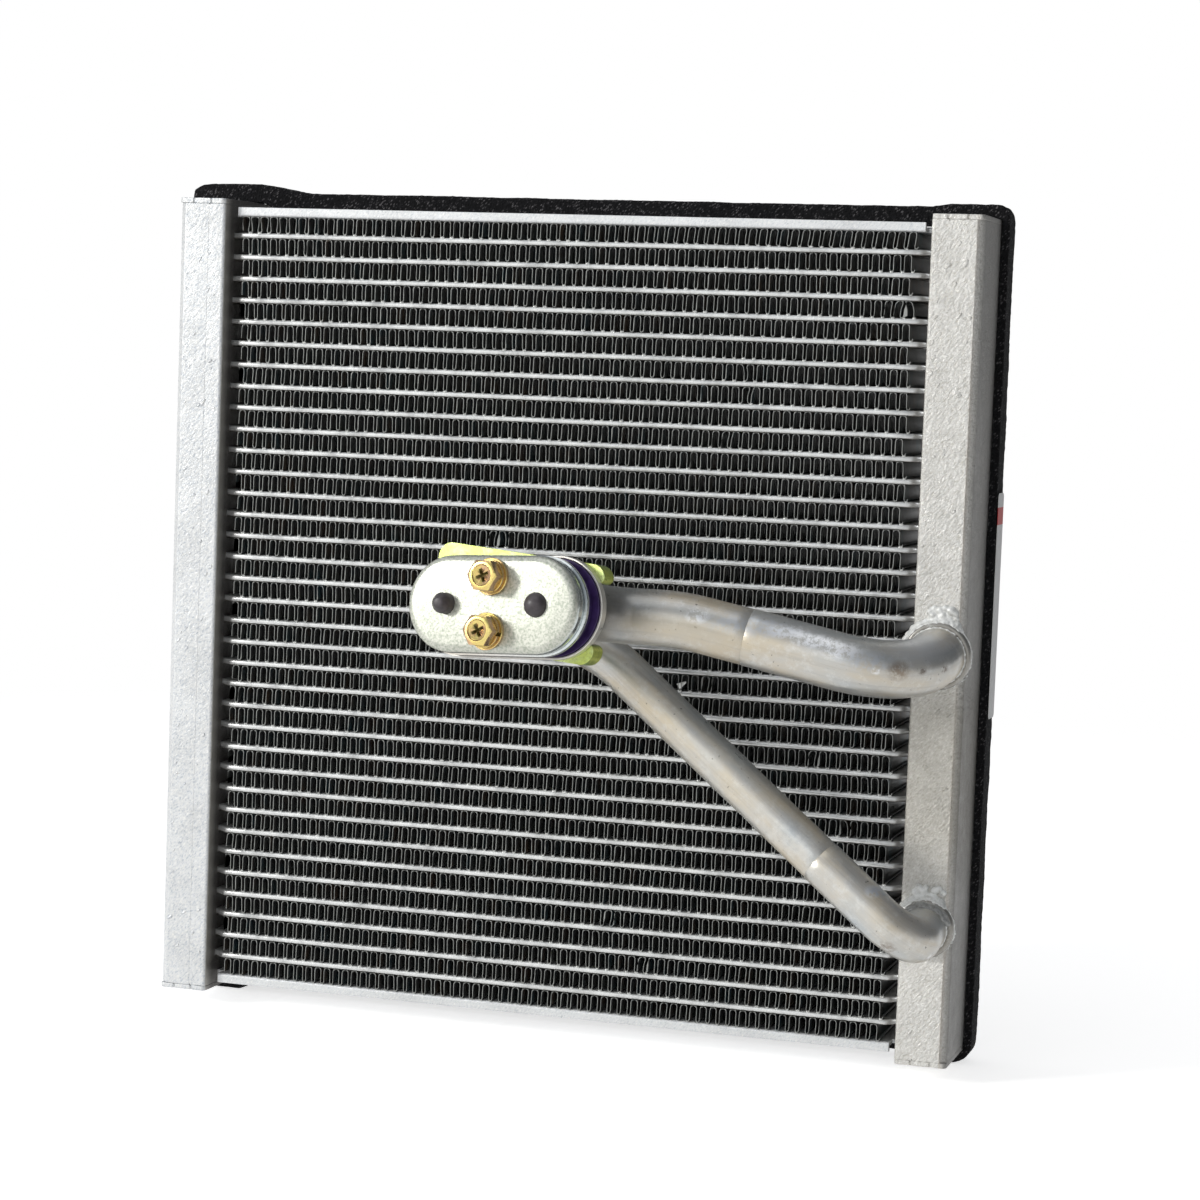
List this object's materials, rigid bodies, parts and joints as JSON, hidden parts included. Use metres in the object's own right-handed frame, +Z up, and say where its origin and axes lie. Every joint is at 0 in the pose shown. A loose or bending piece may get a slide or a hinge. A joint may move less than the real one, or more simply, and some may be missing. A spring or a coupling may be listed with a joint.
{
  "type": "evaporator core",
  "caption": "Brazed tube-and-fin evaporator core with side header tanks, two refrigerant pipes running to a capped valve flange, and a foam band round its rear edge.",
  "frame": {"origin": "middle of the lower face of the foam band, where the air-box case grips the part", "axes": "+X across the core towards the header with the ports, +Y in from the front face to the back, +Z up"},
  "size_m": [0.2536, 0.1095, 0.2497],
  "materials": {
    "header_aluminium": "matte, grainy and pitted, as brazed",
    "tube_aluminium": "bright satin, with a light braze bloom",
    "fin_aluminium": "thin coated strip with bright edges",
    "pipe_aluminium": "satin drawn tube with scuffs",
    "cap_zinc": "bright zinc, grainy face and glossy side",
    "clamp_zinc": "yellow-green chromate",
    "screw_zinc": "yellow zinc with a pink cast",
    "seal_rubber": "deep purple moulded rubber",
    "plug_rubber": "dark moulded rubber",
    "foam_black": "closed-cell foam with a speckled skin",
    "label_paper": "coated paper"
  },
  "bodies": {
    "root": {"tubes_1": "tube_aluminium", "tubes_2": "tube_aluminium", "tubes_3": "tube_aluminium", "tubes_4": "tube_aluminium", "tubes_5": "tube_aluminium", "tubes_6": "tube_aluminium", "tubes_7": "tube_aluminium", "fins_01": "fin_aluminium", "fins_02": "fin_aluminium", "fins_03": "fin_aluminium", "fins_04": "fin_aluminium", "fins_05": "fin_aluminium", "fins_06": "fin_aluminium", "fins_07": "fin_aluminium", "fins_08": "fin_aluminium", "fins_09": "fin_aluminium", "fins_10": "fin_aluminium", "fins_11": "fin_aluminium", "fins_12": "fin_aluminium", "fins_13": "fin_aluminium", "fins_14": "fin_aluminium", "fins_15": "fin_aluminium", "fins_16": "fin_aluminium", "fins_17": "fin_aluminium", "fins_18": "fin_aluminium", "header_plate_left": "header_aluminium", "header_plate_right": "header_aluminium", "tank_left": "header_aluminium", "tank_right": "header_aluminium", "end_lid_top_left": "header_aluminium", "end_lid_top_right": "header_aluminium", "end_lid_bottom_left": "header_aluminium", "end_lid_bottom_right": "header_aluminium", "side_plate_top": "header_aluminium", "side_plate_bottom": "header_aluminium", "suction_elbow": "pipe_aluminium", "suction_pipe": "pipe_aluminium", "liquid_elbow": "pipe_aluminium", "liquid_pipe": "pipe_aluminium", "suction_collar": "pipe_aluminium", "liquid_collar": "pipe_aluminium", "valve_flange": "pipe_aluminium", "shipping_cap": "cap_zinc", "clamp_plate": "clamp_zinc", "screws": "screw_zinc", "spring_washers": "screw_zinc", "flat_washers": "screw_zinc", "flange_seal": "seal_rubber", "plug_left": "plug_rubber", "plug_right": "plug_rubber", "foam_top": "foam_black", "foam_bottom": "foam_black", "foam_left": "foam_black", "foam_right": "foam_black", "label": "label_paper"}
  },
  "joints": []
}
